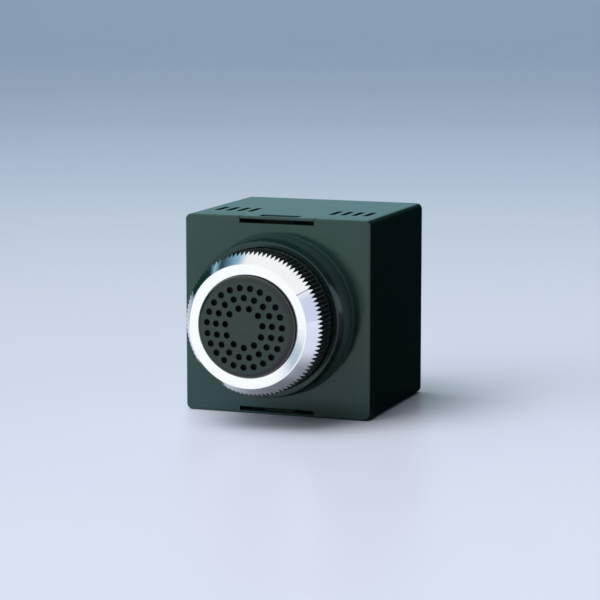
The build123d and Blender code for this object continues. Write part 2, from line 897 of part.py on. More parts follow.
switch_front = hub_front - hub_wall
with BuildPart() as switch_body:
    with BuildSketch(across(switch_front)):
        Rectangle(switch_side, switch_side)
    extrude(amount=-switch_length)
    with BuildSketch(across(switch_front)):
        Circle(plunger_r + plunger_gap)
    plunger_well = switch_front - plunger_stand + plunger_length + travel + switch_play
    extrude(amount=-plunger_well, mode=Mode.SUBTRACT)
    # solder terminals
    with BuildSketch(across(switch_front - switch_length)):
        with GridLocations(switch_side / 3, 1, 3, 1):
            Rectangle(terminal_width, terminal_height)
    extrude(amount=-terminal_length)
switch_body.part.label = "switch_body"
export_step(switch_body.part, "parts/switch_body.step")

with BuildPart() as switch_plunger:
    with BuildSketch(across(plunger_stand)):
        Circle(plunger_r)
    extrude(amount=-plunger_length)
    chamfer(switch_plunger.edges().sort_by(Axis.Y)[0], length=plunger_chamfer)
switch_plunger.part.label = "switch_plunger"
export_step(switch_plunger.part, "parts/switch_plunger.step")

# ------------------------------------------------------------------ chassis

chassis_width = pocket_width - 2 * chassis_gap
chassis_height = pocket_height - 2 * chassis_gap
ear_points = around(ear_reach, 4)
# Pressed steel plate on the cover's posts; it carries the guide tube, loudspeaker and potentiometer
with BuildPart() as chassis_plate:
    with BuildSketch(across(-chassis_depth)):
        with Locations((0, middle)):
            RectangleRounded(chassis_width, chassis_height, chassis_corner_r)
        Circle(guide_bore_r, mode=Mode.SUBTRACT)
        with Locations((pinion_x, pinion_z)):
            Circle(bushing_r + screw_gap, mode=Mode.SUBTRACT)
        with Locations(*post_points):
            Circle(m3_r + screw_gap, mode=Mode.SUBTRACT)
        with Locations(*around(tube_screw_r, 3, 90)):
            Circle(m2_r, mode=Mode.SUBTRACT)
        with Locations(*ear_points):
            Circle(m3_r, mode=Mode.SUBTRACT)
    extrude(amount=-chassis_t)
chassis_plate.part.label = "chassis_plate"
export_step(chassis_plate.part, "parts/chassis_plate.step")

with BuildPart() as chassis_screws:
    with BuildSketch(across(chassis_back)):
        with Locations(*post_points):
            Circle(m3_r - shank_gap)
    extrude(amount=chassis_t + screw_bite)
    with BuildSketch(across(chassis_back)):
        with Locations(*post_points):
            Circle(m3_head_r)
    extrude(amount=-m3_head_h)
chassis_screws.part.label = "chassis_screws"
export_step(chassis_screws.part, "parts/chassis_screws.step")

with BuildPart() as tube_screws:
    with BuildSketch(across(chassis_back)):
        with Locations(*around(tube_screw_r, 3, 90)):
            Circle(m2_r - shank_gap)
    extrude(amount=chassis_t + tube_flange_t)
    with BuildSketch(across(tube_flange_t - chassis_depth)):
        with Locations(*around(tube_screw_r, 3, 90)):
            Circle(m2_head_r)
    extrude(amount=m2_head_h)
tube_screws.part.label = "tube_screws"
export_step(tube_screws.part, "parts/tube_screws.step")

# ------------------------------------------------------------------ loudspeaker

speaker_front = chassis_back - speaker_gasket_t
flange_back = speaker_front - speaker_flange_t
basket_back = flange_back - basket_deep
roll_outer_r = speaker_r - glue_width
basket_in_r = roll_outer_r - basket_t
basket_knee = speaker_front - basket_step

with BuildPart() as speaker_gasket:
    with BuildSketch(across(chassis_back)):
        Circle(speaker_r)
        Circle(roll_outer_r, mode=Mode.SUBTRACT)
    extrude(amount=-speaker_gasket_t)
speaker_gasket.part.label = "speaker_gasket"
export_step(speaker_gasket.part, "parts/speaker_gasket.step")

# Pressed basket with four ears and four windows
with BuildPart() as speaker_frame:
    with BuildSketch(turning()):
        with BuildLine():
            Polyline(
                (speaker_r, speaker_front),
                (basket_in_r, speaker_front),
                (basket_in_r, basket_knee),
                (basket_neck_r - basket_t, basket_back + basket_t),
                (coil_r + air_gap + plate_lip, basket_back + basket_t),
                (coil_r + air_gap + plate_lip, basket_back),
                (basket_neck_r, basket_back),
                (basket_in_r + basket_t, basket_knee - basket_t / 2),
                (basket_in_r + basket_t, flange_back),
                (speaker_r, flange_back),
                close=True,
            )
        make_face()
    revolve(axis=spindle())
    with BuildSketch(across(speaker_front)):
        with PolarLocations(0, 4):
            with Locations((ear_reach / 2 + speaker_r / 2, 0)):
                Rectangle(ear_reach - speaker_r + 2 * over, 2 * ear_r)
            with Locations((ear_reach, 0)):
                Circle(ear_r)
        Circle(roll_outer_r, mode=Mode.SUBTRACT)
        with Locations(*ear_points):
            Circle(m3_r + screw_gap, mode=Mode.SUBTRACT)
    extrude(amount=-speaker_flange_t)
    with BuildSketch(across(basket_back - over)):
        with PolarLocations((basket_neck_r + basket_in_r) / 2, 4, start_angle=45):
            SlotOverall(window_length, window_width, rotation=90)
    extrude(amount=basket_deep, mode=Mode.SUBTRACT)
speaker_frame.part.label = "speaker_frame"
export_step(speaker_frame.part, "parts/speaker_frame.step")

# Pleated surround between the basket and the cone
roll_inner_r = cone_r + air_gap
roll_mid = (roll_inner_r + roll_outer_r) / 2
with BuildPart() as speaker_surround:
    with BuildSketch(turning()):
        with BuildLine():
            pleat = [
                (roll_outer_r, 0.0),
                (roll_mid + roll_width / 2, 0.0),
                (roll_mid + roll_flat / 2, -roll_deep),
                (roll_mid - roll_flat / 2, -roll_deep),
                (roll_mid - roll_width / 2, 0.0),
                (roll_inner_r, 0.0),
            ]
            back = [(r, speaker_front + h) for r, h in pleat]
            front = [(r, speaker_front + surround_t + h) for r, h in reversed(pleat)]
            Polyline(*back, *front, close=True)
        make_face()
    revolve(axis=spindle())
speaker_surround.part.label = "speaker_surround"
export_step(speaker_surround.part, "parts/speaker_surround.step")

# Paper cone with its dust cap
cone_rim = speaker_front
cone_neck = cone_rim - cone_deep
with BuildPart() as speaker_cone:
    with BuildSketch(turning()):
        with BuildLine():
            cap_foot = cone_neck + 2 * cone_t
            former_in_r = coil_r - coil_t
            dome_r = ((coil_r + cone_t) ** 2 + dome_rise**2) / (2 * dome_rise)
            dome_inside = (
                cap_foot + dome_rise - dome_r + sqrt((dome_r - cone_t) ** 2 - former_in_r**2)
            )
            Polyline(
                (coil_r + 2 * cone_t, cone_neck),
                (cone_r - cone_hem, cone_rim),
                (cone_r, cone_rim),
                (cone_r, cone_rim + cone_t),
                (cone_r - cone_hem - cone_t / 2, cone_rim + cone_t),
                (coil_r + cone_t, cap_foot),
            )
            RadiusArc((coil_r + cone_t, cap_foot), (0, cap_foot + dome_rise), -dome_r)
            Line((0, cap_foot + dome_rise), (0, cap_foot + dome_rise - cone_t))
            RadiusArc((0, cap_foot + dome_rise - cone_t), (former_in_r, dome_inside), dome_r - cone_t)
            Polyline(
                (former_in_r, dome_inside),
                (former_in_r, cone_neck),
                (coil_r + 2 * cone_t, cone_neck),
            )
        make_face()
    revolve(axis=spindle())
speaker_cone.part.label = "speaker_cone"
export_step(speaker_cone.part, "parts/speaker_cone.step")

# Voice coil on its former
with BuildPart() as voice_coil:
    with BuildSketch(across(cone_neck)):
        Circle(coil_r)
        Circle(coil_r - coil_t, mode=Mode.SUBTRACT)
    extrude(amount=-(cone_neck - basket_back + plate_t))
voice_coil.part.label = "voice_coil"
export_step(voice_coil.part, "parts/voice_coil.step")

# Corrugated centring spider in the basket's neck
damper_stand = basket_back + damper_rise
with BuildPart() as speaker_damper:
    with BuildSketch(turning()):
        with BuildLine():
            damper_in = coil_r + air_gap
            basket_slope = (basket_in_r - basket_neck_r + basket_t) / (
                basket_knee - basket_back - basket_t
            )
            damper_low = damper_stand - damper_t - basket_back - basket_t
            damper_out = basket_neck_r - basket_t + basket_slope * damper_low - damper_glue
            damper_step = (damper_out - damper_in) / (2 * damper_waves)
            crests = [
                (damper_in + i * damper_step, damper_stand + (damper_wave if i % 2 else 0.0))
                for i in range(2 * damper_waves + 1)
            ]
            troughs = [(r, h - damper_t) for r, h in reversed(crests)]
            Polyline(*crests, *troughs, close=True)
        make_face()
    revolve(axis=spindle())
speaker_damper.part.label = "speaker_damper"
export_step(speaker_damper.part, "parts/speaker_damper.step")

# Magnet ring between two steel plates, with the pole through the coil
pole_r = coil_r - coil_t - air_gap
yoke_back = basket_back - plate_t - magnet_t
with BuildPart() as speaker_top_plate:
    with BuildSketch(across(basket_back)):
        Circle(basket_neck_r)
        Circle(coil_r + air_gap, mode=Mode.SUBTRACT)
    extrude(amount=-plate_t)
speaker_top_plate.part.label = "speaker_top_plate"
export_step(speaker_top_plate.part, "parts/speaker_top_plate.step")

with BuildPart() as speaker_yoke:
    with BuildSketch(across(yoke_back)):
        Circle(basket_neck_r)
    extrude(amount=-plate_t)
    with BuildSketch(across(yoke_back)):
        Circle(pole_r)
    extrude(amount=magnet_t + plate_t)
speaker_yoke.part.label = "speaker_yoke"
export_step(speaker_yoke.part, "parts/speaker_yoke.step")

with BuildPart() as speaker_magnet:
    with BuildSketch(across(basket_back - plate_t)):
        Circle(magnet_r)
        Circle(coil_r + air_gap + magnet_gap, mode=Mode.SUBTRACT)
    extrude(amount=-magnet_t)
    chamfer(speaker_magnet.edges().filter_by(GeomType.CIRCLE).sort_by(SortBy.RADIUS)[-2:], magnet_chamfer)
speaker_magnet.part.label = "speaker_magnet"
export_step(speaker_magnet.part, "parts/speaker_magnet.step")

with BuildPart() as speaker_screws:
    with BuildSketch(across(flange_back)):
        with Locations(*ear_points):
            Circle(m3_r - shank_gap)
    extrude(amount=speaker_flange_t + speaker_gasket_t + chassis_t)
    with BuildSketch(across(flange_back)):
        with Locations(*ear_points):
            Circle(m3_head_r)
    extrude(amount=-m3_head_h)
speaker_screws.part.label = "speaker_screws"
export_step(speaker_screws.part, "parts/speaker_screws.step")

# ------------------------------------------------------------------ potentiometer

pinion_front = gear_front
pinion_back = gear_back
bushing_front = bushing_stand - chassis_depth
with BuildPart() as pot_body:
    with BuildSketch(across(chassis_back, pinion_x, pinion_z)):
        Circle(pot_r)
    extrude(amount=-pot_length)
    chamfer(pot_body.edges().group_by(Axis.Y)[-1], length=pot_chamfer)
    with BuildSketch(across(chassis_back, pinion_x, pinion_z)):
        Circle(bushing_r)
    extrude(amount=bushing_front - chassis_back)
    with BuildSketch(across(bushing_front, pinion_x, pinion_z)):
        Circle(shaft_r + shaft_gap)
    extrude(amount=chassis_back - bushing_front - shaft_seat - shaft_end_gap, mode=Mode.SUBTRACT)
    with BuildSketch(across(chassis_back - pot_length, pinion_x, pinion_z)):
        with GridLocations(lug_pitch, 1, 3, 1):
            Rectangle(lug_width, lug_t)
    extrude(amount=-lug_length)
pot_body.part.label = "pot_body"
export_step(pot_body.part, "parts/pot_body.step")

with BuildPart() as pot_nut:
    with BuildSketch(across(-chassis_depth, pinion_x, pinion_z)):
        Circle(pot_washer_r)
        Circle(bushing_r, mode=Mode.SUBTRACT)
    extrude(amount=pot_washer_t)
    with BuildSketch(across(pot_washer_t - chassis_depth, pinion_x, pinion_z)):
        RegularPolygon(nut_r, 6)
        Circle(bushing_r, mode=Mode.SUBTRACT)
    extrude(amount=nut_t)
pot_nut.part.label = "pot_nut"
export_step(pot_nut.part, "parts/pot_nut.step")

with BuildPart() as pot_shaft:
    with BuildSketch(across(pinion_front, pinion_x, pinion_z)):
        Circle(shaft_r)
    extrude(amount=chassis_back - pinion_front - shaft_seat)
pot_shaft.part.label = "pot_shaft"
export_step(pot_shaft.part, "parts/pot_shaft.step")

# Pinion with a hub and a grub screw; a gap faces the dial gear's tooth at rest
pinion_turn = pinion_bearing + 180 + 180 / pinion_teeth
with BuildPart() as pot_pinion:
    with BuildSketch(across(pinion_front, pinion_x, pinion_z)):
        with BuildLine():
            Polyline(*gear_outline(pinion_teeth, pinion_turn), close=True)
        make_face()
    extrude(amount=-gear_t)
    with BuildSketch(across(pinion_back, pinion_x, pinion_z)):
        Circle(pinion_hub_r)
    extrude(amount=-pinion_hub_l)
    with BuildSketch(across(pinion_front, pinion_x, pinion_z)):
        Circle(shaft_r)
    extrude(amount=-gear_t - pinion_hub_l - over, mode=Mode.SUBTRACT)
    grub_plane = Plane(
        origin=(pinion_x, face_y - pinion_back + pinion_hub_l / 2, axis_z + pinion_z),
        z_dir=(cos(radians(pinion_bearing)), 0, sin(radians(pinion_bearing))),
    )
    with BuildSketch(grub_plane.offset(shaft_r / 2)):
        Circle(m2_r)
    extrude(amount=pinion_hub_r, mode=Mode.SUBTRACT)
pot_pinion.part.label = "pot_pinion"
export_step(pot_pinion.part, "parts/pot_pinion.step")

with BuildPart() as pinion_screw:
    with BuildSketch(grub_plane.offset(shaft_r + grub_gap)):
        Circle(m2_r - shank_gap)
    extrude(amount=pinion_hub_r - shaft_r - grub_gap - grub_sink)
pinion_screw.part.label = "pinion_screw"
export_step(pinion_screw.part, "parts/pinion_screw.step")

# ------------------------------------------------------------------ circuit board

# The board stands on the back wall's standoffs; its parts face the front
board_face = Plane(
    origin=(0, face_y + board_depth, body_height / 2), x_dir=(1, 0, 0), z_dir=(0, -1, 0)
)
with BuildPart() as main_board:
    with BuildSketch(board_face):
        RectangleRounded(board_width, board_height, board_corner_r)
        with GridLocations(hole_span_x, hole_span_z, 2, 2):
            Circle(m3_r + screw_gap, mode=Mode.SUBTRACT)
    extrude(amount=-board_t)
main_board.part.label = "main_board"
export_step(main_board.part, "parts/main_board.step")

with BuildPart() as board_screws:
    with BuildSketch(board_face):
        with GridLocations(hole_span_x, hole_span_z, 2, 2):
            Circle(m3_r - shank_gap)
    extrude(amount=-board_t - screw_bite)
    with BuildSketch(board_face):
        with GridLocations(hole_span_x, hole_span_z, 2, 2):
            Circle(m3_head_r)
    extrude(amount=m3_head_h)
board_screws.part.label = "board_screws"
export_step(board_screws.part, "parts/board_screws.step")

# Terminal block along the lower edge, with a wire mouth and a screw well for each way
block_z = block_inset + block_deep / 2 - board_height / 2
with BuildPart() as terminal_block:
    with BuildSketch(board_face):
        with Locations((0, block_z)):
            Rectangle(ways * way_pitch + 2 * block_margin, block_deep)
    extrude(amount=block_high)
    with BuildSketch(board_face.offset(block_high)):
        with Locations((0, block_z)):
            with GridLocations(way_pitch, 1, ways, 1):
                Circle(block_screw_r + block_well_gap)
    extrude(amount=-block_well_deep, mode=Mode.SUBTRACT)
    mouth_plane = Plane(
        origin=(0, face_y + board_depth - mouth_rise, body_height / 2 + block_z - block_deep / 2),
        x_dir=(1, 0, 0),
        z_dir=(0, 0, -1),
    )
    with BuildSketch(mouth_plane):
        with GridLocations(way_pitch, 1, ways, 1):
            Rectangle(mouth_side, mouth_side)
    extrude(amount=-mouth_deep, mode=Mode.SUBTRACT)
terminal_block.part.label = "terminal_block"
export_step(terminal_block.part, "parts/terminal_block.step")

with BuildPart() as terminal_screws:
    with BuildSketch(board_face.offset(block_high - block_well_deep)):
        with Locations((0, block_z)):
            with GridLocations(way_pitch, 1, ways, 1):
                Circle(block_screw_r)
    extrude(amount=block_screw_t)
terminal_screws.part.label = "terminal_screws"
export_step(terminal_screws.part, "parts/terminal_screws.step")

# Finned heat sink with the amplifier chip on its lower face
sink_high = board_depth + yoke_back - plate_t - sink_gap
with BuildPart() as heat_sink:
    with BuildSketch(board_face):
        with Locations((sink_x, sink_z)):
            Rectangle(sink_width, sink_base)
        with Locations((sink_x, sink_z + sink_base / 2 + fin_length / 2)):
            with GridLocations((sink_width - fin_t) / (fin_count - 1), 1, fin_count, 1):
                Rectangle(fin_t, fin_length)
    extrude(amount=sink_high)
heat_sink.part.label = "heat_sink"
export_step(heat_sink.part, "parts/heat_sink.step")

chip_z = sink_z - sink_base / 2 - chip_t / 2
with BuildPart() as amplifier_chip:
    with BuildSketch(board_face.offset(chip_rise)):
        with Locations((sink_x, chip_z)):
            Rectangle(chip_width, chip_t)
    extrude(amount=chip_high)
    with BuildSketch(board_face):
        with Locations((sink_x, chip_z)):
            with GridLocations(pin_pitch, 1, pins_per_row, 1):
                Rectangle(pin_width, pin_t)
    extrude(amount=chip_rise)
amplifier_chip.part.label = "amplifier_chip"
export_step(amplifier_chip.part, "parts/amplifier_chip.step")

with BuildPart() as capacitors:
    with BuildSketch(board_face):
        with Locations((cap_x, cap_z)):
            with GridLocations(cap_pitch, 1, cap_count, 1):
                Circle(cap_r)
    extrude(amount=cap_high)
    chamfer(capacitors.edges().group_by(Axis.Y)[0], length=cap_chamfer)
capacitors.part.label = "capacitors"
export_step(capacitors.part, "parts/capacitors.step")

with BuildPart() as relay:
    with BuildSketch(board_face):
        with Locations((relay_x, relay_z)):
            RectangleRounded(relay_width, relay_deep, relay_corner_r)
    extrude(amount=relay_high)
    chamfer(relay.edges().group_by(Axis.Y)[0], length=relay_chamfer)
relay.part.label = "relay"
export_step(relay.part, "parts/relay.step")

with BuildPart() as control_chip:
    with BuildSketch(board_face.offset(control_rise)):
        with Locations((control_x, control_z)):
            Rectangle(control_width, control_deep)
    extrude(amount=control_high)
    with BuildSketch(board_face):
        with Locations((control_x, control_z)):
            with GridLocations(pin_pitch, control_row, pins_per_row, 2):
                Rectangle(leg_width, leg_deep)
    extrude(amount=leg_high)
control_chip.part.label = "control_chip"
export_step(control_chip.part, "parts/control_chip.step")

# ------------------------------------------------------------------ cable entry

# Rubber grommet, flush with the back wall
entry_inner = wall + entry_boss_h
with BuildPart() as cable_grommet:
    with BuildSketch(turning(0, entry_z - axis_z)):
        with BuildLine():
            Polyline(
                (entry_bore_r, -body_depth),
                (entry_flange_r, -body_depth),
                (entry_flange_r, entry_flange_t - body_depth),
                (entry_neck_r, entry_flange_t - body_depth),
                (entry_neck_r, entry_inner - body_depth),
                (entry_flange_r, entry_inner - body_depth),
                (entry_flange_r, entry_inner + entry_flange_t - body_depth),
                (entry_bore_r, entry_inner + entry_flange_t - body_depth),
                close=True,
            )
        make_face()
    revolve(axis=spindle(0, entry_z - axis_z))
cable_grommet.part.label = "cable_grommet"
export_step(cable_grommet.part, "parts/cable_grommet.step")
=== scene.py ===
"""Pedestrian push button on a pale table: finishes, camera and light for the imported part.

Metres, +Z up, -Y is the front that faces the pedestrian, +X is to the right seen from the front.
"""

from math import cos, radians, sin

import bmesh
import bpy
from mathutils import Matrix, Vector

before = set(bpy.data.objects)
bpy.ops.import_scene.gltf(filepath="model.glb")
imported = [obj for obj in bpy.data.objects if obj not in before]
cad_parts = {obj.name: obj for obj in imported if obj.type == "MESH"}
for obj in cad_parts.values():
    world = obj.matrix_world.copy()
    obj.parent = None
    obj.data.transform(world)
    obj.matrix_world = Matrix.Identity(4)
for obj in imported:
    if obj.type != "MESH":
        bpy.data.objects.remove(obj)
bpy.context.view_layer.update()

# ------------------------------------------------------------------ table

# A large sheet of pale satin laminate. It lies flat under the object and far past the camera's
# view, darker with distance behind the object, and it mirrors the object softly.
table_radius = 9.0
shade_heading = (-0.345, 0.939)   # ground direction along which the table gets darker
shade_start = -0.3
shade_length = 4.0
# Painted shade: the table darkens towards the back, for light that falls off with distance.
table_shades = (
    # distance behind the object, colour there
    (-0.25, (0.700, 0.730, 0.840)),
    (0.05, (0.660, 0.680, 0.800)),
    (0.40, (0.620, 0.640, 0.750)),
    (0.70, (0.555, 0.585, 0.700)),
    (1.20, (0.430, 0.480, 0.610)),
    (1.90, (0.330, 0.350, 0.480)),
    (2.60, (0.260, 0.290, 0.410)),
    (3.60, (0.205, 0.260, 0.375)),
)
mottle_shade = (0.75, 0.80, 0.88)
mottle_share = 0.05
# What follows shows only in reflections and in the light that matt surfaces get back; the camera
# sees bare laminate there. Pairs are places in metres, where a mask starts and where it is full.
# This black is a mirrored cloth, and painted shade in the light bounced from the right.
cloth_and_shade_black = (0.002, 0.008, 0.010)   # black cloth at the right
cloth_left = 0.03
cloth_left_soft = 0.02
cloth_slant = 1.1                     # of its right edge, which runs back and to the right
cloth_reach = 0.10
cloth_right = (-0.04, 0.06)
dim_right = (-0.02, 0.04)             # from here to the right, matt surfaces get little light back
paper_shade = (0.92, 0.94, 0.94)      # white paper in front
paper_edge = 0.10
paper_soft = 0.10
card_shade = (0.010, 0.150, 0.260)    # small blue card on the paper, at the front left
card_turn = radians(28.0)             # its direction from straight ahead, seen from this point
card_from = (0.02, 0.06)              # to the right and in front of the object's middle
card_near = (0.335, 0.345)
card_far = 0.480
card_far_soft = 0.02
card_left = 0.030
card_right = 0.035
card_side_soft = 0.005


class Wire:
    """A node's socket that takes part in Python sums."""

    def __init__(self, finish, socket):
        self.finish = finish
        self.socket = socket

    def math(self, operation, *values):
        return self.finish.node("ShaderNodeMath", {"operation": operation}, dict(enumerate(values)))

    def __add__(self, other):
        return self.math("ADD", self, other)

    def __sub__(self, other):
        return self.math("SUBTRACT", self, other)

    def __rsub__(self, other):
        return self.math("SUBTRACT", other, self)

    def __mul__(self, other):
        return self.math("MULTIPLY", self, other)

    def __truediv__(self, other):
        return self.math("DIVIDE", self, other)

    def __pow__(self, other):
        return self.math("POWER", self, other)

    def __neg__(self):
        return 0.0 - self

    def __abs__(self):
        return self.math("ABSOLUTE", self)

    __radd__ = __add__
    __rmul__ = __mul__

    def larger(self, other):
        return self.math("MAXIMUM", self, other)

    def out(self, name):
        """Another output of the same node."""
        return Wire(self.finish, self.socket.node.outputs[name])

    def rise(self, low, high):
        """0 below low, 1 above high, and a smooth step between them."""
        return self.finish.node(
            "ShaderNodeMapRange",
            {"interpolation_type": "SMOOTHSTEP"},
            {"Value": self, "From Min": low, "From Max": high},
        )


class Finish:
    """The node tree of one finish, or of the surroundings."""

    def __init__(self, tree):
        self.tree = tree

    def node(self, kind, settings=None, inputs=None, out=0):
        """Adds a node: its settings first, then the values or links of its sockets."""
        made = self.tree.nodes.new(kind)
        for name, value in (settings or {}).items():
            if name == "stops":
                ramp = made.color_ramp.elements
                while len(ramp) < len(value):
                    ramp.new(0.5)
                for stop, (place, colour) in zip(ramp, value):
                    stop.position = place
                    stop.color = (*colour, 1.0)
            else:
                setattr(made, name, value)
        self.plug(made, inputs or {})
        return Wire(self, made.outputs[out])

    def plug(self, made, inputs):
        """Links a node's sockets, or sets them to plain values."""
        for name, value in inputs.items():
            socket = made.inputs[name]
            if isinstance(value, Wire):
                self.tree.links.new(value.socket, socket)
            elif socket.type == "RGBA":
                socket.default_value = (*value, 1.0)
            else:
                socket.default_value = value

    def place(self):
        """Where a point of the surface lies, in the object's own metres."""
        return self.node("ShaderNodeTexCoord", out="Object")

    def parts(self, vector):
        """The X, Y and Z of a vector."""
        split = self.node("ShaderNodeSeparateXYZ", {}, {"Vector": vector})
        return split, split.out("Y"), split.out("Z")

    def grain(self, where, scale, detail=2.0, roughness=0.5):
        """Cloudy noise, with about this many patches to the metre."""
        return self.node(
            "ShaderNodeTexNoise",
            {},
            {"Vector": where, "Scale": scale, "Detail": detail, "Roughness": roughness},
        )

    def mix(self, share, first, second):
        """Blends two colours."""
        return self.node(
            "ShaderNodeMix", {"data_type": "RGBA"}, {0: share, 6: first, 7: second}, out=2
        )

    def relief(self, height, depth, strength=1.0):
        """A surface normal from a height pattern of that depth in metres."""
        return self.node(
            "ShaderNodeBump", {}, {"Height": height, "Distance": depth, "Strength": strength}
        )


def new_finish(name, **constants):
    """A material with its Principled shader set to these constants."""
    material = bpy.data.materials.new(name)
    material.use_nodes = True
    finish = Finish(material.node_tree)
    shader = material.node_tree.nodes["Principled BSDF"]
    finish.plug(shader, {key.replace("_", " "): value for key, value in constants.items()})
    return material, finish, shader


sheet = bmesh.new()
bmesh.ops.create_circle(sheet, cap_ends=True, segments=96, radius=table_radius)
table = bpy.data.objects.new("table", bpy.data.meshes.new("table"))
sheet.to_mesh(table.data)
sheet.free()
bpy.context.scene.collection.objects.link(table)
laminate, f, shader = new_finish("table laminate", Specular_IOR_Level=0.35)
where = f.place()
across, deep, _ = f.parts(where)
behind = across * shade_heading[0] + deep * shade_heading[1]
shade = f.node(
    "ShaderNodeValToRGB",
    {"stops": [((d - shade_start) / shade_length, colour) for d, colour in table_shades]},
    {"Fac": (behind - shade_start) / shade_length},
)
shade = f.mix(f.grain(where, scale=9.0, detail=4.0) * mottle_share, shade, mottle_shade)
rays = f.node("ShaderNodeLightPath")
mirrored = rays.out("Is Glossy Ray")
cloth = (across - cloth_left).rise(0.0, cloth_left_soft)
cloth = cloth * (cloth_slant * deep + cloth_reach - across).rise(*cloth_right)
shade = f.mix(cloth * mirrored, shade, cloth_and_shade_black)
# Painted shade: the table's right bounces black light, so the box's right side lies dark.
shade = f.mix(across.rise(*dim_right) * rays.out("Is Diffuse Ray"), shade, cloth_and_shade_black)
paper = (-paper_edge - deep).rise(0.0, paper_soft)
shade = f.mix(paper * mirrored, shade, paper_shade)
ahead = (card_from[0] - across) * sin(card_turn) - (card_from[1] + deep) * cos(card_turn)
aside = (across - card_from[0]) * cos(card_turn) - (card_from[1] + deep) * sin(card_turn)
card = ahead.rise(*card_near) * (card_far - ahead).rise(0.0, card_far_soft)
card = card * (aside + card_left).rise(0.0, card_side_soft)
card = card * (card_right - aside).rise(0.0, card_side_soft)
shade = f.mix(card * mirrored, shade, card_shade)
f.plug(shader, {
    "Base Color": shade,
    "Roughness": 0.30 + 0.08 * f.grain(where, scale=40.0, detail=3.0),
    "Normal": f.relief(f.grain(where, scale=2500.0, detail=1.0), depth=0.00002, strength=0.3),
})
table.data.materials.append(laminate)

# ------------------------------------------------------------------ camera

# Long lens that looks slightly down on the dial from its right. It aims at the cover's face, a
# little above the dial's axis and to the right of it.
aim = Vector((0.01248, -0.0205, 0.0591))
view_turn = radians(20.16)
view_rise = radians(8.51)
view_distance = 1.229
towards = Vector((
    sin(view_turn) * cos(view_rise), -cos(view_turn) * cos(view_rise), sin(view_rise)
))
camera = bpy.data.objects.new("camera", bpy.data.cameras.new("camera"))
camera.data.lens = 148.4
camera.data.sensor_width = 36.0
camera.data.clip_end = 40.0
camera.location = aim + view_distance * towards
camera.rotation_euler = towards.to_track_quat("Z", "Y").to_euler()
bpy.context.scene.collection.objects.link(camera)
bpy.context.scene.camera = camera
bpy.context.scene.view_settings.view_transform = "Standard"

# ------------------------------------------------------------------ light

# A broad overhead light and a weaker one from the left front, which nothing mirrors. What shines
# mirrors the surroundings: white above and in front, lavender at the right, teal low down behind,
# and dark at the left, high up behind, and behind at the right, where black cloth hangs.
lights = (
    # name, direction the light comes from, strength, width of its disc in degrees, colour
    ("overhead light", (-0.26, -0.16, 1.0), 2.45, 46.0, (1.0, 1.0, 1.0)),
    ("left light", (-0.85, -1.0, 0.75), 1.25, 45.0, (0.97, 0.99, 1.0)),
)
for name, source, strength, width, colour in lights:
    lamp = bpy.data.lights.new(name, "SUN")
    lamp.energy = strength
    lamp.angle = radians(width)
    lamp.color = colour
    made = bpy.data.objects.new(name, lamp)
    made.rotation_euler = Vector(source).to_track_quat("Z", "Y").to_euler()
    made.visible_glossy = False
    bpy.context.scene.collection.objects.link(made)

low_teal = (0.205, 0.375, 0.410)
sky_blue = (0.36, 0.66, 0.86)
lavender = (0.66, 0.71, 0.88)
white = (1.0, 1.0, 1.0)
studio_dark = (0.006, 0.030, 0.030)
black_cloth = (0.002, 0.006, 0.008)
ambient_left = (0.50, 0.55, 0.58)     # what matt surfaces get from the left, and from the right
ambient_right = (0.010, 0.014, 0.016)
# A direction of length 1 goes right, back and up by its three parts. Pairs are the parts at which
# a mask starts and is full, and a lean adds some of another part.
blue_up = (0.20, 0.45)
lavender_right = (0.35, 0.60)
white_front = (-0.05, 0.35)
studio_end_left = (0.42, 0.62)
studio_end_top = (0.30, 0.42)
studio_end_back = (-0.7, -0.4)
white_up = (0.62, 0.76)
white_lean = 0.2
cloth_from = (-0.06, 0.06)
cloth_from_lean = 0.1
cloth_to = (-0.04, 0.08)
cloth_to_lean = 0.72
cloth_top = (0.62, 0.75)
dark_back = (0.38, 0.55)
dark_up = (0.36, 0.50)
ambient_fall = (-0.45, 0.05)
world = bpy.data.worlds.new("surroundings")
bpy.context.scene.world = world
world.use_nodes = True
f = Finish(world.node_tree)
heading = f.node("ShaderNodeTexCoord", out="Generated")
right, back, up = f.parts(heading)
seen = f.mix(up.rise(*blue_up), low_teal, sky_blue)
seen = f.mix(right.rise(*lavender_right), seen, lavender)
seen = f.mix((-back).rise(*white_front), seen, white)
studio_end = (-right).rise(*studio_end_left) * (1 - up.rise(*studio_end_top))
seen = f.mix(studio_end * back.rise(*studio_end_back), seen, studio_dark)
seen = f.mix((up + white_lean * right).rise(*white_up), seen, white)
hanging = (right + cloth_from_lean * back).rise(*cloth_from)
hanging = hanging * (cloth_to_lean * back - right).rise(*cloth_to)
seen = f.mix(hanging * (1 - up.rise(*cloth_top)), seen, black_cloth)
seen = f.mix(back.rise(*dark_back) * up.rise(*dark_up), seen, studio_dark)
soft = f.mix(right.rise(*ambient_fall), ambient_left, ambient_right)
rays = f.node("ShaderNodeLightPath")
sharp = rays.out("Is Camera Ray").larger(rays.out("Is Glossy Ray"))
sharp = sharp.larger(rays.out("Is Transmission Ray"))
f.plug(world.node_tree.nodes["Background"], {"Color": f.mix(sharp, soft, seen), "Strength": 1.0})

# ------------------------------------------------------------------ housing and front cover

# Two mouldings in one very dark green polycarbonate, glossy, with a faint spark-eroded grain from
# the mould. The cover carries the dial's polished and nearly black collar. The housing has the
# vents and the two snap tongues, whose slots are painted black inside as painted shade.
box_green = (0.0155, 0.0415, 0.0380)
box_green_worn = (0.0195, 0.0470, 0.0435)
worn_clouds = (0.35, 0.75)
green_sheen = (0.72, 1.0, 0.95)
housing_roughness = 0.09
cover_roughness = 0.10
dust = (0.32, 0.35, 0.36)
dust_slope = (0.6, 1.0)             # how far up a surface faces
dust_specks = (0.52, 0.8)
dust_share = 0.10
axis_height = 0.051                 # of the dial's axis above the table
half_height = 0.05                  # of the box
face_front = 0.0205                 # the cover's face, in front of the object's middle
